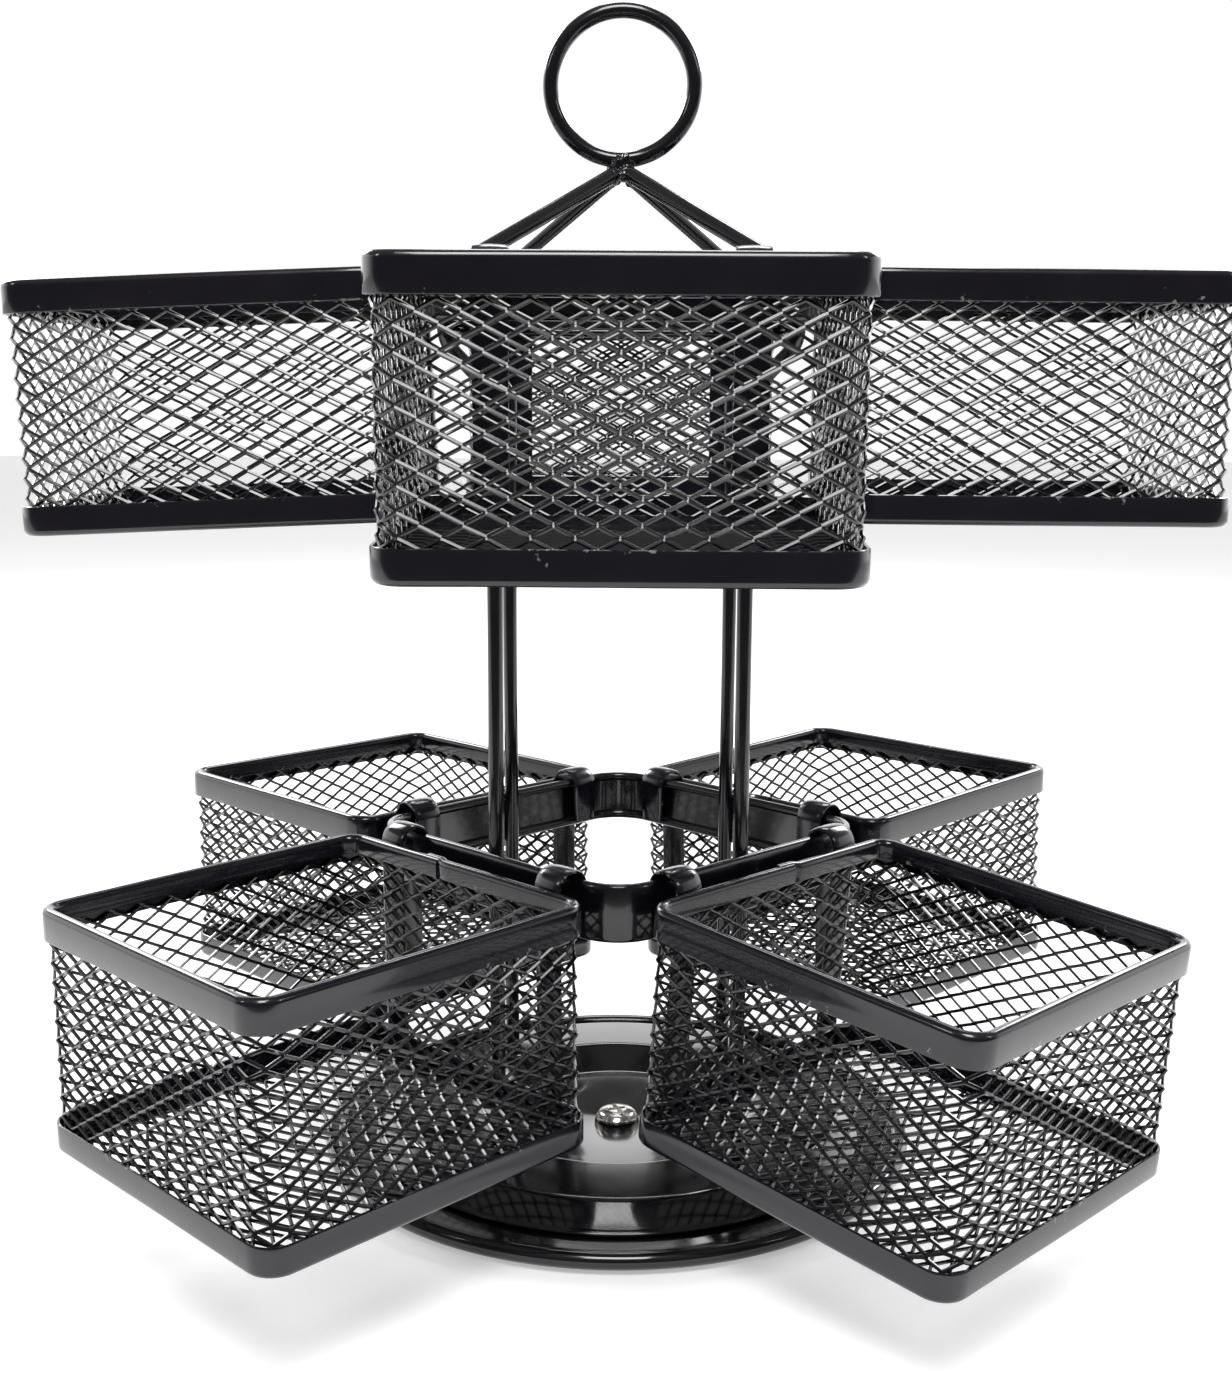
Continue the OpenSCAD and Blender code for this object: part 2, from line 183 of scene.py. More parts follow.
def rim_stations(w, d, r, start, extra, step=6.0, bend_steps=9):
    """Lengths round a rectangle at which its strip is drawn: dense in the bends."""
    straight_w, straight_d, quarter = w - 2 * r, d - 2 * r, math.pi * r / 2
    total = 2 * (straight_w + straight_d) + 4 * quarter
    marks, base = [], -straight_w / 2
    for k in range(4):
        run = straight_w if k % 2 == 0 else straight_d
        marks += list(base + np.linspace(0, run, max(2, int(run / step)), endpoint=False))
        base += run
        marks += list(base + np.linspace(0, quarter, bend_steps, endpoint=False))
        base += quarter
    marks = np.array(marks)
    marks = np.sort((marks - start) % total)
    marks = np.concatenate([[0.0], marks[marks > 0.3]])
    tail = total + np.array([-2.5, -1.6, -0.8, 0.0, extra * 0.5, extra])
    marks = np.concatenate([marks[marks < total - 3.0], tail])
    return start + marks, total


def wobble(s, total, seed, size):
    """Smooth small deviation round a closed loop, the same at both ends."""
    rng = np.random.default_rng(seed)
    a = 2 * math.pi * np.asarray(s) / total
    out = np.zeros_like(a)
    for k in range(2, 8):
        out += rng.normal() / k * np.sin(k * a + rng.uniform(0, 2 * math.pi))
    return out * size


def lapped_strip(w, d, r, section, wear_and_glint, base_z, seed, start=0.0, lap=5.0, lift=0.55, wave=0.10):
    """Strip bent round a rectangle, its far end lapped over its start. Section x runs inwards."""
    s, total = rim_stations(w, d, r, start, lap)
    x, y, nx, ny, _ = round_rect_at(s, w, d, r)
    k = len(section)
    over = np.clip((s - start - (total - 2.6)) / 2.6, 0, 1)
    over = over * over * (3 - 2 * over) * lift
    out = wobble(s, total, seed, wave) + over
    up = wobble(s, total, seed + 1, wave * 0.7) + over * 0.6
    px = x[:, None] + nx[:, None] * (out[:, None] - section[None, :, 0])
    py = y[:, None] + ny[:, None] * (out[:, None] - section[None, :, 0])
    pz = base_z + section[None, :, 1] + up[:, None] + 0 * x[:, None]
    verts = np.stack([px, py, pz], -1).reshape(-1, 3)
    n = len(s)
    faces = [list(f) for f in grid_faces(n, k, False, True)]
    faces.append(list(range(k))[::-1])
    faces.append([(n - 1) * k + i for i in range(k)])
    all_wear_and_glint = np.tile(wear_and_glint, n)
    all_wear_and_glint[-2 * k:] = np.maximum(all_wear_and_glint[-2 * k:], 0.6)
    return verts, faces, all_wear_and_glint


def berth_matrix(bearing, tier, droop):
    """Row frame position of a basket drawn along +Y with its floor at z = 0, in millimetres."""
    lift = LOWER_TIER_Z + tier * TIER
    return (
        Matrix.Rotation(math.radians(bearing - 90), 4, "Z")
        @ Matrix.Translation((0, HOOK_MID, lift + HOOK_FLOOR))
        @ Matrix.Rotation(math.radians(-droop), 4, "X")
        @ Matrix.Translation((0, -HOOK_MID, -HOOK_FLOOR))
    )


def moved(verts, matrix):
    m = np.array(matrix)
    return np.asarray(verts) @ m[:3, :3].T + m[:3, 3]


def tube(line, radius, sides=20, closed=False, cap=True):
    """Round wire along a polyline of 3D points, with frames carried along it."""
    line = np.asarray(line, float)
    n = len(line)
    if closed:
        tangent = np.roll(line, -1, 0) - np.roll(line, 1, 0)
    else:
        tangent = np.gradient(line, axis=0)
    tangent /= np.linalg.norm(tangent, axis=1)[:, None]
    radius = np.broadcast_to(np.asarray(radius, float), (n,))
    side = np.cross(tangent[0], [0, 0, 1.0])
    if np.linalg.norm(side) < 1e-3:
        side = np.cross(tangent[0], [0, 1.0, 0])
    side /= np.linalg.norm(side)
    verts = []
    for p, t, rr in zip(line, tangent, radius):
        side = side - t * (side @ t)
        side /= np.linalg.norm(side)
        up = np.cross(t, side)
        for a in np.linspace(0, 2 * math.pi, sides, endpoint=False):
            verts.append(p + rr * (math.cos(a) * side + math.sin(a) * up))
    faces = [list(f) for f in grid_faces(n, sides, closed, True)]
    if not closed and cap:
        faces.append(list(range(sides))[::-1])
        faces.append([(n - 1) * sides + i for i in range(sides)])
    return np.array(verts), faces


def lathe(profile, segments=160):
    """Surface of revolution of a closed [radius, height] outline."""
    profile = np.asarray(profile, float)
    a = np.linspace(0, 2 * math.pi, segments, endpoint=False)
    verts = np.stack(
        [
            profile[None, :, 0] * np.cos(a)[:, None],
            profile[None, :, 0] * np.sin(a)[:, None],
            np.repeat(profile[None, :, 1], segments, 0),
        ],
        -1,
    ).reshape(-1, 3)
    return verts, [list(f) for f in grid_faces(segments, len(profile), True, True)]


def fillet(points, radii, n=6):
    """Open polyline with its inner corners rounded to the given radii."""
    points = np.asarray(points, float)
    out = [points[0]]
    for i in range(1, len(points) - 1):
        p, r = points[i], radii[i - 1]
        a, b = points[i - 1] - p, points[i + 1] - p
        la, lb = np.linalg.norm(a), np.linalg.norm(b)
        a, b = a / la, b / lb
        half = math.acos(max(-1, min(1, float(a @ b)))) / 2
        cut = min(r / math.tan(half), la * 0.49, lb * 0.49)
        r = cut * math.tan(half)
        centre = p + (a + b) / np.linalg.norm(a + b) * r / math.sin(half)
        v0, v1 = p + a * cut - centre, p + b * cut - centre
        a0 = math.atan2(v0[1], v0[0])
        turn = (math.atan2(v1[1], v1[0]) - a0 + math.pi) % (2 * math.pi) - math.pi
        for k in range(n + 1):
            ang = a0 + turn * k / n
            out.append(centre + r * np.array([math.cos(ang), math.sin(ang)]))
    out.append(points[-1])
    return np.array(out)


def merge(*parts):
    """Joins (verts, faces[, wear]) parts into one."""
    verts, faces, wear_and_glint, base = [], [], [], 0
    for p in parts:
        v, f = p[0], p[1]
        w = p[2] if len(p) > 2 else np.zeros(len(v))
        verts.append(np.asarray(v, float))
        faces += [[i + base for i in face] for face in f]
        wear_and_glint.append(w)
        base += len(v)
    return np.vstack(verts), faces, np.concatenate(wear_and_glint)


# ---------------------------------------------------------------- materials
def new_material(name):
    mat = bpy.data.materials.new(name)
    mat.use_nodes = True
    nt = mat.node_tree
    nt.nodes.clear()
    out = nt.nodes.new("ShaderNodeOutputMaterial")
    bsdf = nt.nodes.new("ShaderNodeBsdfPrincipled")
    nt.links.new(bsdf.outputs[0], out.inputs[0])
    return mat, nt, bsdf


def noise_node(nt, scale, detail, rough, coords):
    n = nt.nodes.new("ShaderNodeTexNoise")
    n.inputs["Scale"].default_value = scale
    n.inputs["Detail"].default_value = detail
    n.inputs["Roughness"].default_value = rough
    nt.links.new(coords, n.inputs["Vector"])
    return n.outputs["Fac"]


def ramp(nt, value, low, high, to_low=0.0, to_high=1.0):
    n = nt.nodes.new("ShaderNodeMapRange")
    n.inputs["From Min"].default_value = low
    n.inputs["From Max"].default_value = high
    n.inputs["To Min"].default_value = to_low
    n.inputs["To Max"].default_value = to_high
    nt.links.new(value, n.inputs["Value"])
    return n.outputs[0]


def maths(nt, op, a, b):
    n = nt.nodes.new("ShaderNodeMath")
    n.operation = op
    for socket, v in zip(n.inputs, (a, b)):
        if isinstance(v, (int, float)):
            socket.default_value = v
        else:
            nt.links.new(v, socket)
    return n.outputs[0]


def mix_colour(nt, fac, a, b):
    n = nt.nodes.new("ShaderNodeMix")
    n.data_type = "RGBA"
    nt.links.new(fac, n.inputs["Factor"])
    for socket, v in ((n.inputs["A"], a), (n.inputs["B"], b)):
        if isinstance(v, tuple):
            socket.default_value = (*v, 1.0)
        else:
            nt.links.new(v, socket)
    return n.outputs["Result"]


def object_coords(nt):
    return nt.nodes.new("ShaderNodeTexCoord").outputs["Object"]


def add_bump(nt, bsdf, height, strength, distance):
    bump = nt.nodes.new("ShaderNodeBump")
    bump.inputs["Strength"].default_value = strength
    bump.inputs["Distance"].default_value = distance
    nt.links.new(height, bump.inputs["Height"])
    nt.links.new(bump.outputs[0], bsdf.inputs["Normal"])


def paint(name, colour, tint, rough, peel, chips_and_glints):
    """Gloss black stoved paint with orange peel, and light grey flecks where the edge mask marks an
    exposed edge: partly chipped paint, partly a painted highlight along the edges.
    """
    mat, nt, bsdf = new_material(name)
    coords = object_coords(nt)
    wear_and_glint = nt.nodes.new("ShaderNodeAttribute")
    wear_and_glint.attribute_name = "wear_and_glint"
    cloud = noise_node(nt, 60, 4, 0.6, coords)
    fine = noise_node(nt, 900, 3, 0.6, coords)
    chip_and_glint_noise = noise_node(nt, 420, 4, 0.65, coords)
    patch = noise_node(nt, 45, 2, 0.5, coords)
    chance = maths(nt, "MULTIPLY", wear_and_glint.outputs["Fac"], ramp(nt, patch, 0.42, 0.62))
    chip_and_glint = ramp(nt, maths(nt, "ADD", chip_and_glint_noise, maths(nt, "MULTIPLY", chance, chips_and_glints)), 0.80, 0.84)
    base = mix_colour(nt, ramp(nt, cloud, 0.35, 0.7), colour, tint)
    # Light grey flecks: chipped paint, and also a painted highlight that draws glints and a broken light
    # line along the marked edges.
    chipped_and_glinting = mix_colour(nt, chip_and_glint, base, (0.20, 0.195, 0.19))
    nt.links.new(chipped_and_glinting, bsdf.inputs["Base Color"])
    rough_out = maths(nt, "ADD", ramp(nt, cloud, 0.3, 0.75, rough - 0.05, rough + 0.07),
                      maths(nt, "MULTIPLY", chip_and_glint, 0.25))
    nt.links.new(rough_out, bsdf.inputs["Roughness"])
    bsdf.inputs["Coat Weight"].default_value = 0.35
    bsdf.inputs["Coat Roughness"].default_value = 0.06
    height = maths(nt, "ADD", maths(nt, "MULTIPLY", fine, 0.5), noise_node(nt, 260, 2, 0.5, coords))
    height = maths(nt, "SUBTRACT", height, maths(nt, "MULTIPLY", chip_and_glint, 1.2))
    add_bump(nt, bsdf, height, 0.3, peel)
    return mat


def metal(name, colour, rough, streak, scale=(1, 1, 1)):
    """Bare or plated metal with fine grain, stretched by scale where it is turned or drawn."""
    mat, nt, bsdf = new_material(name)
    coords = object_coords(nt)
    mapping = nt.nodes.new("ShaderNodeMapping")
    mapping.inputs["Scale"].default_value = scale
    nt.links.new(coords, mapping.inputs["Vector"])
    grain = noise_node(nt, 700, 4, 0.6, mapping.outputs[0])
    spot = noise_node(nt, 160, 3, 0.6, coords)
    dark = tuple(c * 0.72 for c in colour)
    nt.links.new(mix_colour(nt, ramp(nt, spot, 0.35, 0.7), colour, dark), bsdf.inputs["Base Color"])
    bsdf.inputs["Metallic"].default_value = 1.0
    nt.links.new(ramp(nt, grain, 0.3, 0.7, rough, rough + streak), bsdf.inputs["Roughness"])
    add_bump(nt, bsdf, grain, 0.25, 0.00004)
    return mat


def plastic(name, colour, rough, bump_scale, depth):
    """Moulded plastic or rubber with a fine texture."""
    mat, nt, bsdf = new_material(name)
    coords = object_coords(nt)
    cloud = noise_node(nt, 80, 4, 0.6, coords)
    dark = tuple(c * 0.8 for c in colour)
    nt.links.new(mix_colour(nt, ramp(nt, cloud, 0.35, 0.7), colour, dark), bsdf.inputs["Base Color"])
    nt.links.new(ramp(nt, cloud, 0.3, 0.7, rough, rough + 0.12), bsdf.inputs["Roughness"])
    add_bump(nt, bsdf, noise_node(nt, bump_scale, 3, 0.6, coords), 0.5, depth)
    return mat


# The last number sets the edge flecks; the rims' higher value paints a broken light line along their lower
# edges, a painted highlight as well as chipping.
RIM_PAINT = paint("rim_paint", (0.0042, 0.0034, 0.0072), (0.0058, 0.0048, 0.0086), 0.19, 0.00002, 0.27)
MESH_PAINT = paint("mesh_paint", (0.0040, 0.0035, 0.0050), (0.0056, 0.0050, 0.0066), 0.16, 0.000008, 0.15)
FRAME_PAINT = paint("frame_paint", (0.0038, 0.0032, 0.0050), (0.0052, 0.0045, 0.0065), 0.16, 0.00002, 0.17)
PAN_PAINT = paint("pan_paint", (0.0036, 0.0032, 0.0044), (0.005, 0.0045, 0.0058), 0.12, 0.000015, 0.16)
SCREW_METAL = metal("screw_metal", (0.78, 0.76, 0.72), 0.16, 0.14)
RACE_METAL = metal("race_metal", (0.42, 0.42, 0.43), 0.28, 0.2, (1, 1, 6))
BALL_METAL = metal("ball_metal", (0.8, 0.8, 0.8), 0.08, 0.06)
NYLON = plastic("nylon", (0.74, 0.72, 0.66), 0.42, 900, 0.00003)
PAD_RUBBER = plastic("pad_rubber", (0.03, 0.03, 0.031), 0.75, 1500, 0.0002)


# ---------------------------------------------------------------- baskets
def ribbon_section(width, thick):
    """Six-sided outline of one strand of the expanded metal."""
    return np.array([
        [width / 2, 0], [width * 0.27, thick / 2], [-width * 0.27, thick / 2],
        [-width / 2, 0], [-width * 0.27, -thick / 2], [width * 0.27, -thick / 2],
    ])


def expanded(rows, halves, closed, place, seed, pitch, step=SHORT_WAY / 2):
    """Expanded metal: one zigzag ribbon for each row, bonded to the next at every knuckle.
    place(s, v, h) puts a point, given along the sheet, across it and out of it, where it belongs.
    dwell is half the length of a knuckle, bond its distance from the row line, rise its height."""
    rng = np.random.default_rng(seed)
    dwell, bond, rise, tilt = 0.22, 0.25, 0.16, math.radians(-30)
    section = ribbon_section(0.94, 0.70)
    k = len(section)
    jitter_s = rng.normal(0, 0.05, (rows + 2, halves + 1))
    jitter_v = rng.normal(0, 0.035, (rows + 2, halves + 1))
    count = halves if closed else halves + 1
    i = np.arange(count)
    verts, faces, base = [], [], 0
    for j in range(rows):
        upper = (i + j) % 2 == 1
        level = j + upper
        s0 = i * pitch + jitter_s[level, i % (halves + 1)]
        v0 = level * step + np.where(upper, -bond, bond) + jitter_v[level, i % (halves + 1)]
        h0 = np.where(upper, rise, -rise)
        s = np.stack([s0 - dwell, s0 + dwell], 1).ravel()
        v, h = np.repeat(v0, 2), np.repeat(h0, 2)
        slope = np.arctan2(step - 2 * bond, pitch - 2 * dwell) / 2
        lean = np.stack([np.where(upper, slope, -slope), np.where(upper, -slope, slope)], 1).ravel()
        # in-plane direction across the ribbon, then tilted out of the sheet
        us, uv = -np.sin(lean), np.cos(lean)
        x, y = section[:, 0], section[:, 1]
        a = x * math.cos(tilt) - y * math.sin(tilt)
        b = x * math.sin(tilt) + y * math.cos(tilt)
        ps = s[:, None] + us[:, None] * a[None, :]
        pv = v[:, None] + uv[:, None] * a[None, :]
        ph = h[:, None] + b[None, :] + 0 * ps
        verts.append(place(ps.ravel(), pv.ravel(), ph.ravel()))
        n = len(s)
        faces.append(grid_faces(n, k, closed, True) + base)
        base += n * k
    return np.vstack(verts), np.vstack(faces)


def basket_weave(seed):
    """Wall and floor of a basket's tub."""
    inset = RIM_T + 0.7
    w, d, r = BASKET_W - 2 * inset, BASKET_D - 2 * inset, BASKET_R - inset
    total = round_rect_at(0.0, w, d, r)[4]
    halves = 2 * round(total / LONG_WAY)
    pitch = total / halves
    rows = 23
    wall_foot_z, floor_z = 1.9, 2.2
    bulge = np.random.default_rng(seed + 50).normal(0, 0.18, 4)

    def wall(s, v, h):
        x, y, nx, ny, _ = round_rect_at(s, w, d, r)
        z = wall_foot_z + v
        face = (np.abs(ny) < 0.5).astype(float)
        swell = np.sin(np.pi * np.clip(z / BASKET_H, 0, 1)) * (
            bulge[0] * np.cos(x / 28) * ny * (1 - face) + bulge[1] * np.cos(y / 28) * nx * face
        )
        out = h + swell
        return np.stack([x + nx * out, y + ny * out, z], 1)

    def floor(s, v, h):
        x, y = s - w / 2, v - d / 2
        cx, cy = w / 2 - r, d / 2 - r
        ex, ey = np.abs(x) - cx, np.abs(y) - cy
        far = np.hypot(np.maximum(ex, 0), np.maximum(ey, 0))
        pull = np.where((ex > 0) & (ey > 0) & (far > r), r / np.maximum(far, 1e-6), 1.0)
        x = np.where(pull < 1, np.sign(x) * (cx + ex * pull), x)
        y = np.where(pull < 1, np.sign(y) * (cy + ey * pull), y)
        dip = -0.35 * np.cos(x / w * math.pi) * np.cos(y / d * math.pi)
        return np.stack([x, y, floor_z + h + dip], 1)

    v1, f1 = expanded(rows, halves, True, wall, seed, pitch)
    floor_halves = int(w / (LONG_WAY / 2))
    floor_rows = int(d / (SHORT_WAY / 2))
    v2, f2 = expanded(floor_rows, floor_halves, False, floor, seed + 7, w / floor_halves, d / floor_rows)
    return np.vstack([v1, v2]), np.vstack([f1, f2 + len(v1)])


def top_rim(seed):
    """Strip down the outside of the tub's edge, folded over it to the inside."""
    line = np.vstack([
        [[RIM_T / 2, -TOP_RIM_H + RIM_T / 2]],
        arc(FOLD_R, -FOLD_R, FOLD_R - RIM_T / 2, 180, 0, 9),
        [[2 * FOLD_R - RIM_T / 2, -INNER_LEG + RIM_T / 2]],
    ])
    section, wear_and_glint = strip_section(line, RIM_T)
    wear_and_glint[4:8] = 0.5
    return lapped_strip(BASKET_W, BASKET_D, BASKET_R, section, wear_and_glint, BASKET_H, seed,
                        start=np.random.default_rng(seed).uniform(-9, 9))


def bottom_rim(seed):
    """Strip up the foot of the wall, with a flange under the floor."""
    line = np.vstack([
        [[RIM_T / 2, BOTTOM_RIM_H - RIM_T / 2]],
        arc(FOLD_R, FOLD_R, FOLD_R - RIM_T / 2, 180, 270, 6),
        [[FLANGE - RIM_T / 2, RIM_T / 2]],
    ])
    section, wear_and_glint = strip_section(line, RIM_T)
    wear_and_glint[2:5] = 0.5
    return lapped_strip(BASKET_W, BASKET_D, BASKET_R, section, wear_and_glint, 0.0, seed,
                        start=np.random.default_rng(seed).uniform(-12, 12))


def strap_hook(x_mid, seed):
    """One hanger: a strap up the basket's inner wall, folded over as a hook that narrows a little."""
    rng = np.random.default_rng(seed)
    t = STRAP_T
    y_out, y_in = BASKET_IN - t / 2, HOOK_MID - HOOK_R + t / 2
    line = [[y_out, 1.5 + k * (HOOK_FLOOR - 1.5) / 9] for k in range(9)]
    line += arc(HOOK_MID, HOOK_FLOOR, HOOK_R - t / 2, 0, 180, 17).tolist()
    line += [[y_in, HOOK_FLOOR - HOOK_LEG * k / 4] for k in range(1, 5)]
    line = np.array(line)
    tangent = np.gradient(line, axis=0)
    tangent /= np.linalg.norm(tangent, axis=1)[:, None]
    normal = np.stack([tangent[:, 1], -tangent[:, 0]], 1)
    half = STRAP_W / 2
    edge, crown = 0.38, 0.22
    across = [
        (-half + edge, t / 2), (-half * 0.5, t / 2 + crown * 0.6), (0, t / 2 + crown),
        (half * 0.5, t / 2 + crown * 0.6), (half - edge, t / 2),
        (half - 0.08, t / 2 - 0.16), (half, 0), (half - 0.08, -t / 2 + 0.16),
        (half - edge, -t / 2), (0, -t / 2), (-half + edge, -t / 2),
        (-half + 0.08, -t / 2 + 0.16), (-half, 0), (-half + 0.08, t / 2 - 0.16),
    ]
    wear_and_glint = [0.5, 0, 0, 0, 0.5, 1, 1, 1, 0.4, 0, 0.4, 1, 1, 1]
    n, k = len(line), len(across)
    verts = np.zeros((n, k, 3))
    skew = rng.normal(0, 0.25)
    for i in range(n):
        wide = 1.0 if i < n - 2 else (0.96 if i == n - 2 else 0.84)
        for j, (a, b) in enumerate(across):
            p = line[i] + normal[i] * min(b, t / 2 + crown * 0.3 if i < 9 else b)
            verts[i, j] = (x_mid + a * wide + skew * i / n, p[0], p[1])
    faces = [list(f) for f in grid_faces(n, k, False, True)]
    faces.append(list(range(k))[::-1])
    faces.append([(n - 1) * k + i for i in range(k)])
    all_wear_and_glint = np.tile(wear_and_glint, n)
    all_wear_and_glint[-k:] = 1.0
    return verts.reshape(-1, 3), faces, all_wear_and_glint


def build_basket(name, seed):
    at = berth_matrix(*BERTHS[name])
    body = name + "_basket"
    shift = np.array([0, BASKET_IN + BASKET_D / 2, 0])
    verts, faces = basket_weave(seed)
    piece(name + "_weave", moved(verts + shift, at), faces, MESH_PAINT, body,
          [name + "_mesh"], sharp=40)
    v, f, w = top_rim(seed + 1)
    piece(name + "_top_rim", moved(v + shift, at), f, RIM_PAINT, body, [name + "_rim"], w)
    v, f, w = bottom_rim(seed + 2)
    piece(name + "_bottom_rim", moved(v + shift, at), f, RIM_PAINT, body,
          [name + "_base_rim"], w)
    v, f, w = merge(strap_hook(-STRAP_X, seed + 3), strap_hook(STRAP_X, seed + 4))
    piece(name + "_hooks", moved(v, at), f, RIM_PAINT, body, [name + "_hangers"], w)


for number, berth in enumerate(BERTHS):
    build_basket(berth, 100 + 10 * number)


# ---------------------------------------------------------------- frame
def band_strip(name, tier, seed, seam):
    """Square band of strip with both edges curled inwards, its ends butted at one corner."""
    r, t = BAND_BEAD - BAND_T / 2, BAND_T
    line = np.vstack([
        arc(BAND_BEAD, BAND_BEAD, r, 130, -180, 15)[:-1],
        [[t / 2, BAND_BEAD]],
        [[t / 2, BAND_H / 2]],
        [[t / 2, BAND_H - BAND_BEAD]],
        arc(BAND_BEAD, BAND_H - BAND_BEAD, r, 180, -130, 15)[1:],
    ])
    section, wear_and_glint = strip_section(line, t)
    verts, faces, all_wear_and_glint = lapped_strip(
        2 * BAND_OUT, 2 * BAND_OUT, BAND_R, section, wear_and_glint * 0.3, 0.0, seed,
        start=seam, lap=0.6, lift=0.12, wave=0.07)
    low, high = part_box(name)
    centre_z = (low[2] + high[2]) / 2 / MM
    turn = Matrix.Translation((0, 0, centre_z - BAND_H / 2)) @ Matrix.Rotation(
        math.radians(45 if tier == 0 else 0), 4, "Z")
    piece(name + "_strip", moved(verts, turn), faces, FRAME_PAINT, "turntable",
          [name], all_wear_and_glint)
    return centre_z


LOWER_BAND_Z = band_strip("lower_band", 0, 11, BAND_OUT - BAND_R / 2 - 1.5)
UPPER_BAND_Z = band_strip("upper_band", 1, 12, 20.0)

CORNER_R = (BAND_OUT - BAND_R) * math.sqrt(2) + BAND_R - 2 * BAND_BEAD - WIRE_R
CORNER_LOW_Z = UPPER_BAND_Z - BAND_H / 2 - 4.6
CORNER_HIGH_Z = UPPER_BAND_Z - BAND_H / 2 + 11
WIRE_LINE = [[UPRIGHT_R, FOOT_Z], [UPRIGHT_R, CORNER_LOW_Z - 11.6], [CORNER_R, CORNER_LOW_Z],
             [CORNER_R, CORNER_HIGH_Z], [APEX_R, APEX_Z]]


def upright(name, bearing, seed):
    """One bent wire, with a slight bow in each of its two long runs."""
    rng = np.random.default_rng(seed)
    flat = fillet(WIRE_LINE, [WIRE_BEND] * 3, 9)
    dense = [flat[0]]
    for a, b in zip(flat[:-1], flat[1:]):
        steps = max(1, int(np.linalg.norm(b - a) / 14))
        dense += [a + (b - a) * (k + 1) / steps for k in range(steps)]
    dense = np.array(dense)
    a = math.radians(bearing)
    bend = rng.normal(0, 0.22, 2)
    z = dense[:, 1]
    bow = np.sin(np.clip((z - FOOT_Z) / 68, 0, 1) * math.pi)
    bow += np.sin(np.clip((z - 90) / 110, 0, 1) * math.pi)
    out, side = dense[:, 0] + bend[0] * bow, bend[1] * bow
    line = np.stack([out * math.cos(a) - side * math.sin(a), out * math.sin(a) + side * math.cos(a), z], 1)
    v, f = tube(line, WIRE_R)
    piece("upright_" + name, v, f, FRAME_PAINT, "turntable", ["wire_" + name],
          np.full(len(v), 0.12))


for number, (side, bearing) in enumerate(
        {"front_left": 225, "back_left": 135, "front_right": 315, "back_right": 45}.items()):
    upright(side, bearing, 31 + number)


def ring():
    low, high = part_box("ring_handle")
    centre_z, radius = (low[2] + high[2]) / 2 / MM, (high[0] - low[0]) / 2 / MM - WIRE_R
    a = np.linspace(0, 2 * math.pi, 120, endpoint=False)
    r = radius + 0.12 * np.sin(2 * a + 0.4)
    line = np.stack([r * np.cos(a), 0.15 * np.sin(a * 2), centre_z + r * np.sin(a)], 1)
    v, f = tube(line, WIRE_R, 24, closed=True)
    piece("ring_loop", v, f, FRAME_PAINT, "turntable", ["ring_handle"],
          np.full(len(v), 0.12))


ring()


def weld(name, balls, node, voxel, rough, seed):
    """Weld metal: a lump grown round a few balls, remeshed and slightly uneven."""
    bm = bmesh.new()
    for (x, y, z), r in balls:
        bmesh.ops.create_icosphere(bm, subdivisions=3, radius=r * MM,
                                   matrix=Matrix.Translation((x * MM, y * MM, z * MM)))
    mesh = bpy.data.meshes.new(name)
    bm.to_mesh(mesh)
    bm.free()
    obj = link(bpy.data.objects.new(name, mesh))
    mod = obj.modifiers.new("grow", "REMESH")
    mod.mode, mod.voxel_size, mod.use_smooth_shade = "VOXEL", voxel * MM, True
    soft = obj.modifiers.new("soft", "SMOOTH")
    soft.factor, soft.iterations = 0.6, 4
    dg = bpy.context.evaluated_depsgraph_get()
    made = bpy.data.meshes.new_from_object(obj.evaluated_get(dg))
    bpy.data.objects.remove(obj)
    made.name = name
    co = np.array([v.co for v in made.vertices])
    no = np.array([v.normal for v in made.vertices])
    d = np.array([noise.noise(Vector(c * 900) + Vector((seed, 0, 0))) for c in co]) * rough * MM
    made.vertices.foreach_set("co", (co + no * d[:, None]).ravel())
    for p in made.polygons:
        p.use_smooth = True
    mark_wear_and_glint(made, np.full(len(made.vertices), 0.35))
    made.materials.clear()
    return hand_over(name, made, FRAME_PAINT, "turntable", [node])


def around(radius, z, bearings, r, spread=0.0):
    return [((radius * math.cos(math.radians(b)), radius * math.sin(math.radians(b)), z), r)
            for b in bearings]


rng = np.random.default_rng(5)
apex = [((0, 0, 262.6), 2.9), ((0.8, -1.4, 261.4), 2.3), ((-1.1, -1.0, 263.8), 2.0),
        ((0.4, 1.3, 261.6), 2.2), ((2.1, -0.6, 264.0), 1.6), ((-2.4, 0.2, 262.2), 1.7),
        ((1.0, -1.9, 264.9), 1.3)]
apex += around(3.6, 260.2, DIAGONALS, 2.1)
weld("apex_weld_bead", apex, "apex_weld", 0.32, 0.5, 3)

feet = []
for b in DIAGONALS:
    for k in range(10):
        a = 2 * math.pi * k / 10 + rng.normal(0, 0.15)
        cx, cy = UPRIGHT_R * math.cos(math.radians(b)), UPRIGHT_R * math.sin(math.radians(b))
        rr = 2.05 + rng.uniform(0, 0.25)
        feet.append(((cx + rr * math.cos(a), cy + rr * math.sin(a), FOOT_Z + rng.uniform(0, 0.25)),
                     0.95 + rng.uniform(0, 0.25)))
weld("foot_weld_beads", feet, "foot_welds", 0.3, 0.2, 4)

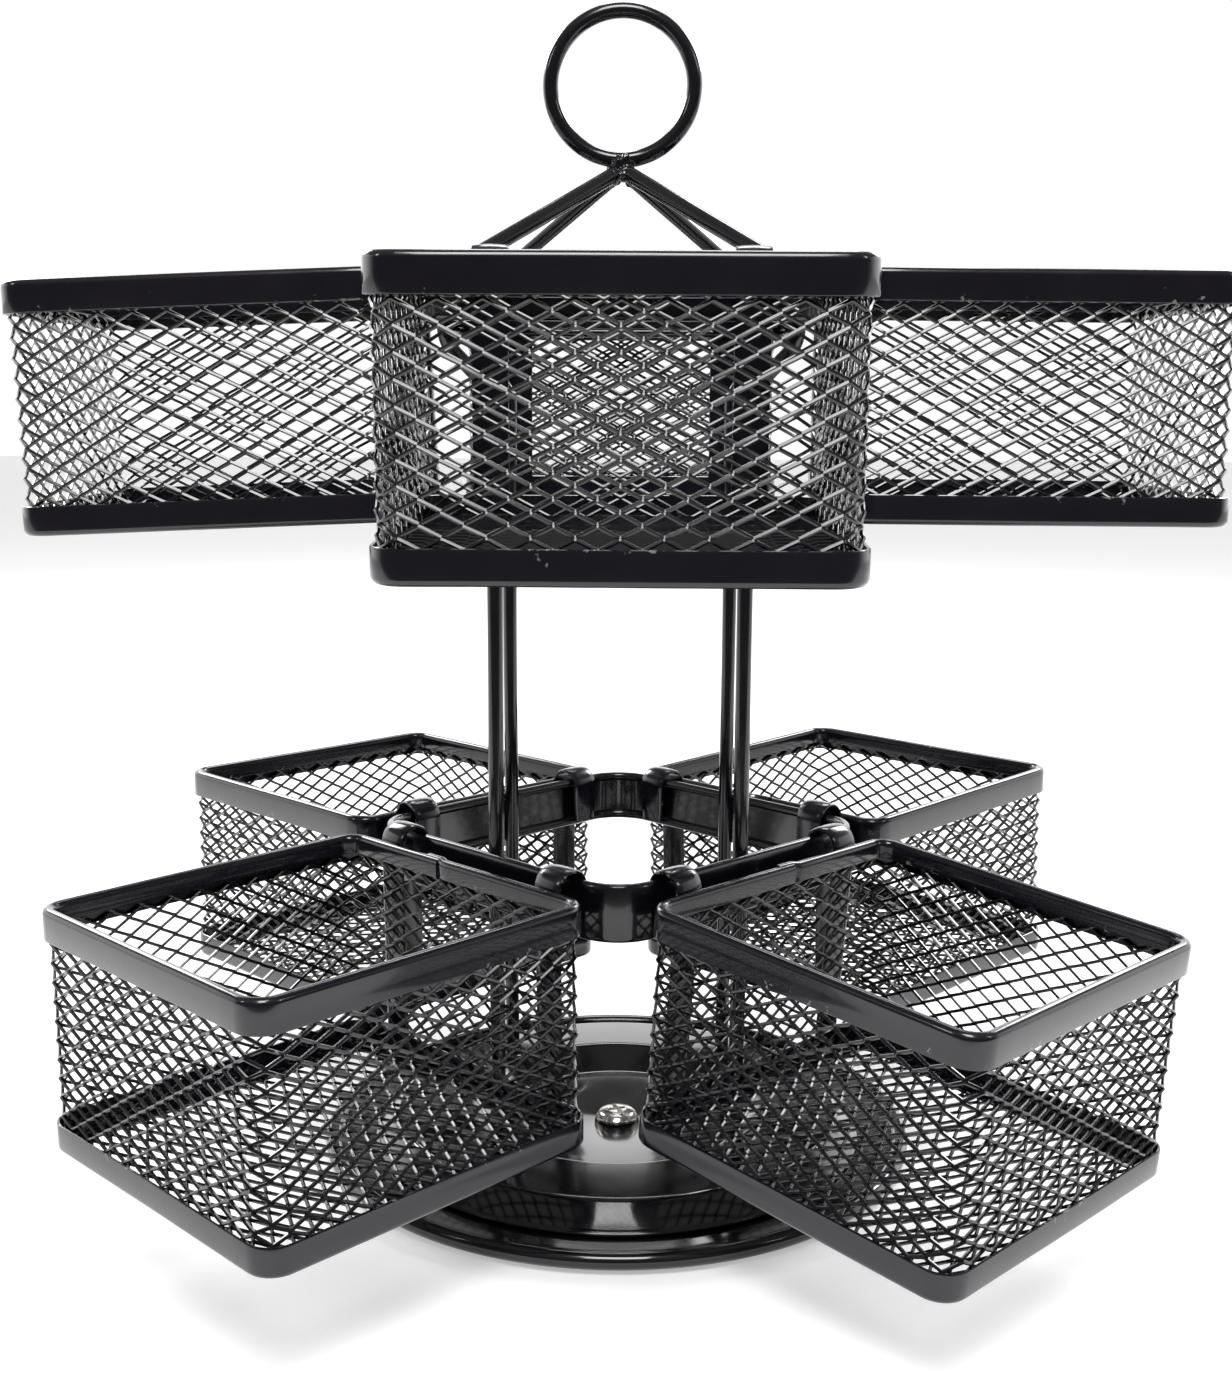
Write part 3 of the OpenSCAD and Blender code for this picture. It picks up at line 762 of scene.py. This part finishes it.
low_beads, high_beads = [], []
for b in DIAGONALS:
    ca, sa = math.cos(math.radians(b)), math.sin(math.radians(b))
    for side in (-1, 1):
        for k in range(5):
            z = LOWER_BAND_Z - 4.6 + 2.3 * k + rng.uniform(-0.3, 0.3)
            radial, across = 46.2 + rng.uniform(-0.2, 0.2), side * (1.7 + rng.uniform(-0.15, 0.15))
            low_beads.append(((radial * ca - across * sa, radial * sa + across * ca, z), 1.15))
    radial = 61.2
    for k in range(4):
        z = UPPER_BAND_Z - 3.4 + 1.4 * k
        for across in (-0.8, 0.8):
            high_beads.append(((radial * ca - across * sa, radial * sa + across * ca, z), 1.15))
weld("lower_band_beads", low_beads, "lower_band_welds", 0.35, 0.25, 6)
weld("upper_band_beads", high_beads, "upper_band_welds", 0.35, 0.25, 7)


# ---------------------------------------------------------------- turntable and base
def sheet_pan(name, line, body, node):
    """A pressed pan: sheet of the pans' thickness, turned about the middle of its section."""
    v, f = lathe(strip_section(line, PAN_T)[0], 192)
    piece(name, v, f, PAN_PAINT, body, [node], sharp=60)


def turntable():
    """Sunk middle, raised ring and sloping skirt."""
    half = PAN_T / 2
    top = fillet(
        [[3.08 + half, 4.4 - half], [33.5, 4.4 - half], [41.4, 10.2 - half], [60.4, 9.75 - half],
         [66.2, 4.6 - half], [67.2, 3.95 - half]],
        [3.0, 2.2, 2.6, 1.6], 8)
    sheet_pan("turntable_dish", top, "turntable", "turntable_pan")


def base():
    """Flat disc whose edge is rolled over into a bead."""
    half = PAN_T / 2
    curl = arc(78.8, 3.0, 2.2 - half, 198, -150, 28)
    line = np.vstack([[[3.6 + half, 2.8 - half], [75.6, 2.8 - half], [76.6, 2.8 - half]], curl])
    sheet_pan("base_dish", line, "base", "base_pan")


turntable()
base()


def mesh_object(name, bm):
    """Turns a bmesh into a temporary object and frees it."""
    bmesh.ops.recalc_face_normals(bm, faces=bm.faces)
    mesh = bpy.data.meshes.new(name)
    bm.to_mesh(mesh)
    bm.free()
    return link(bpy.data.objects.new(name, mesh))


def cross_cutter(top_z):
    """Two crossed wedges, each wide at the top and narrow at the bottom of the recess."""
    overshoot, depth = 1.0, 1.5
    top_half, low_half = (3.9, 0.8), (1.4, 0.5)
    corners = [(-1, -1), (1, -1), (1, 1), (-1, 1)]
    bm = bmesh.new()
    for k in range(2):
        turn = Matrix.Rotation(math.radians(20 + 90 * k), 4, "Z")
        vs = [bm.verts.new(turn @ Vector((half[0] * i * MM, half[1] * j * MM, z * MM)))
              for half, z in ((top_half, top_z + overshoot), (low_half, top_z - depth))
              for i, j in corners]
        bm.faces.new(vs[:4])
        bm.faces.new(vs[4:][::-1])
        for i in range(4):
            bm.faces.new([vs[i], vs[4 + i], vs[4 + (i + 1) % 4], vs[(i + 1) % 4]])
    return mesh_object("screw_cutter", bm)


def screw():
    """Pan head screw with a cross recess that tapers inwards."""
    low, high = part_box("pivot_screw")
    foot_z, top_z, head_h = low[2] / MM, high[2] / MM, 2.6
    r_head, r_shank, r_axis = (high[0] - low[0]) / 2 / MM, 3.0, 0.0001
    outline = fillet(
        [[r_axis, foot_z], [r_shank - 0.4, foot_z], [r_shank, foot_z + 0.4],
         [r_shank, top_z - head_h], [r_head, top_z - head_h], [r_head, top_z - head_h + 0.8],
         [r_head * 0.8, top_z - 0.6], [r_head * 0.45, top_z - 0.08], [r_axis, top_z]],
        [0.1, 0.1, 0.05, 0.2, 0.7, 1.8, 3.0], 6)
    v, f = lathe(outline, 72)
    mesh = bpy.data.meshes.new("screw_outline")
    mesh.from_pydata((v * MM).tolist(), [], f)
    bm = bmesh.new()
    bm.from_mesh(mesh)
    bpy.data.meshes.remove(mesh)
    bmesh.ops.remove_doubles(bm, verts=bm.verts, dist=1e-6)
    blank, cutter = mesh_object("screw_blank", bm), cross_cutter(top_z)
    cut = blank.modifiers.new("cut", "BOOLEAN")
    cut.operation, cut.object, cut.solver, cut.use_self = "DIFFERENCE", cutter, "EXACT", True
    bev = blank.modifiers.new("bevel", "BEVEL")
    bev.width, bev.segments, bev.limit_method, bev.angle_limit = 0.08 * MM, 2, "ANGLE", math.radians(45)
    dg = bpy.context.evaluated_depsgraph_get()
    made = bpy.data.meshes.new_from_object(blank.evaluated_get(dg))
    verts = np.array([v.co for v in made.vertices]) / MM
    faces = [list(p.vertices) for p in made.polygons]
    bpy.data.objects.remove(blank)
    bpy.data.objects.remove(cutter)
    bpy.data.meshes.remove(made)
    piece("pan_head_screw", verts, faces, SCREW_METAL, "base", ["pivot_screw"], sharp=30)


screw()

for node, material in {
    "foot_pads": PAD_RUBBER, "lower_race": RACE_METAL, "upper_race": RACE_METAL,
    "clinch_nut": RACE_METAL, "spacer_washer": NYLON, "ball_cage": NYLON, "bearing_balls": BALL_METAL,
}.items():
    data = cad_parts[node].data
    data.materials.clear()
    data.materials.append(material)


# ---------------------------------------------------------------- floor, light, camera
def stage_floor():
    """Pale floor that stops a little in front of the object, whose near side mirrors a dim room."""
    mesh = bpy.data.meshes.new("floor")
    reach, near = 6.0, -0.42
    mesh.from_pydata([(-reach, near, 0), (reach, near, 0), (reach, reach, 0), (-reach, reach, 0)],
                     [], [(0, 1, 2, 3)])
    mat, nt, bsdf = new_material("floor_white")
    coords = object_coords(nt)
    cloud = noise_node(nt, 9, 4, 0.5, coords)
    nt.links.new(mix_colour(nt, ramp(nt, cloud, 0.3, 0.7), (0.93, 0.93, 0.93), (0.90, 0.90, 0.905)),
                 bsdf.inputs["Base Color"])
    bsdf.inputs["Roughness"].default_value = 0.8
    bsdf.inputs["Specular IOR Level"].default_value = 0.2
    bsdf.inputs["Emission Color"].default_value = (1, 1, 1, 1)
    bsdf.inputs["Emission Strength"].default_value = 0.4
    mesh.materials.append(mat)
    floor = link(bpy.data.objects.new("floor", mesh))
    floor.location = (0, 0, -0.0002)


stage_floor()


def area(name, at, to, size, power):
    """Rectangle light at one place, pointed at another; metres and watts."""
    light = bpy.data.lights.new(name, "AREA")
    light.shape, light.energy = "RECTANGLE", power
    light.size, light.size_y = size
    obj = link(bpy.data.objects.new(name, light))
    obj.location = at
    obj.rotation_euler = (Vector(to) - Vector(at)).to_track_quat("-Z", "Y").to_euler()
    return obj


MIDDLE = (0, 0, 0.1)
area("back_panel", (0.1, 0.95, 1.3), MIDDLE, (0.6, 0.4), 6)
area("back_left_panel", (-0.75, 0.9, 0.85), MIDDLE, (0.5, 0.4), 8)
area("back_right_panel", (0.75, 0.9, 0.85), MIDDLE, (0.5, 0.4), 8)
area("front_panel", (0, -0.55, 1.16), (0, -0.08, 0.1), (0.42, 0.28), 5)
area("front_lamp", (0, -0.89, 1.15), (0, -0.14, 0.2), (0.45, 0.32), 5)
area("left_strip", (-1.1, -0.5, 0.9), MIDDLE, (0.12, 0.3), 1.2)
area("right_strip", (1.1, -0.5, 0.9), MIDDLE, (0.12, 0.3), 1.2)


def sky():
    """Bright studio all round the back and sides, a dimmer room on the near side."""
    world = bpy.data.worlds.new("studio")
    bpy.context.scene.world = world
    world.use_nodes = True
    nt = world.node_tree
    nt.nodes.clear()
    out = nt.nodes.new("ShaderNodeOutputWorld")
    coords = nt.nodes.new("ShaderNodeTexCoord").outputs["Generated"]
    split = nt.nodes.new("ShaderNodeSeparateXYZ")
    nt.links.new(coords, split.inputs[0])
    wall = maths(nt, "MULTIPLY", ramp(nt, split.outputs["Y"], -0.2, 0.3),
                 ramp(nt, split.outputs["Z"], 0.465, 0.415))
    above = ramp(nt, split.outputs["Z"], 0.25, 0.8, 0.15, 0.36)
    back = maths(nt, "ADD", maths(nt, "MULTIPLY", wall, 2.3), above)
    dim = nt.nodes.new("ShaderNodeBackground")
    nt.links.new(back, dim.inputs["Strength"])
    white = nt.nodes.new("ShaderNodeBackground")
    white.inputs["Color"].default_value = (1, 1, 1, 1)
    white.inputs["Strength"].default_value = 1.05
    path = nt.nodes.new("ShaderNodeLightPath")
    mixer = nt.nodes.new("ShaderNodeMixShader")
    nt.links.new(path.outputs["Is Camera Ray"], mixer.inputs[0])
    nt.links.new(dim.outputs[0], mixer.inputs[1])
    nt.links.new(white.outputs[0], mixer.inputs[2])
    nt.links.new(mixer.outputs[0], out.inputs[0])


sky()

camera_data = bpy.data.cameras.new("camera")
camera_data.lens = 43.78
camera_data.sensor_width = 36
camera_data.sensor_fit = "AUTO"
camera_data.clip_start, camera_data.clip_end = 0.01, 50
camera = link(bpy.data.objects.new("camera", camera_data))
camera.location = (0, -0.4504, 0.2029)
camera.rotation_mode = "XYZ"
camera.rotation_euler = (math.radians(90 - 9.74), 0, math.radians(0.11))
camera.rotation_euler.rotate_axis("Z", math.radians(0.3))
bpy.context.scene.camera = camera
bpy.context.scene.view_settings.view_transform = "Standard"
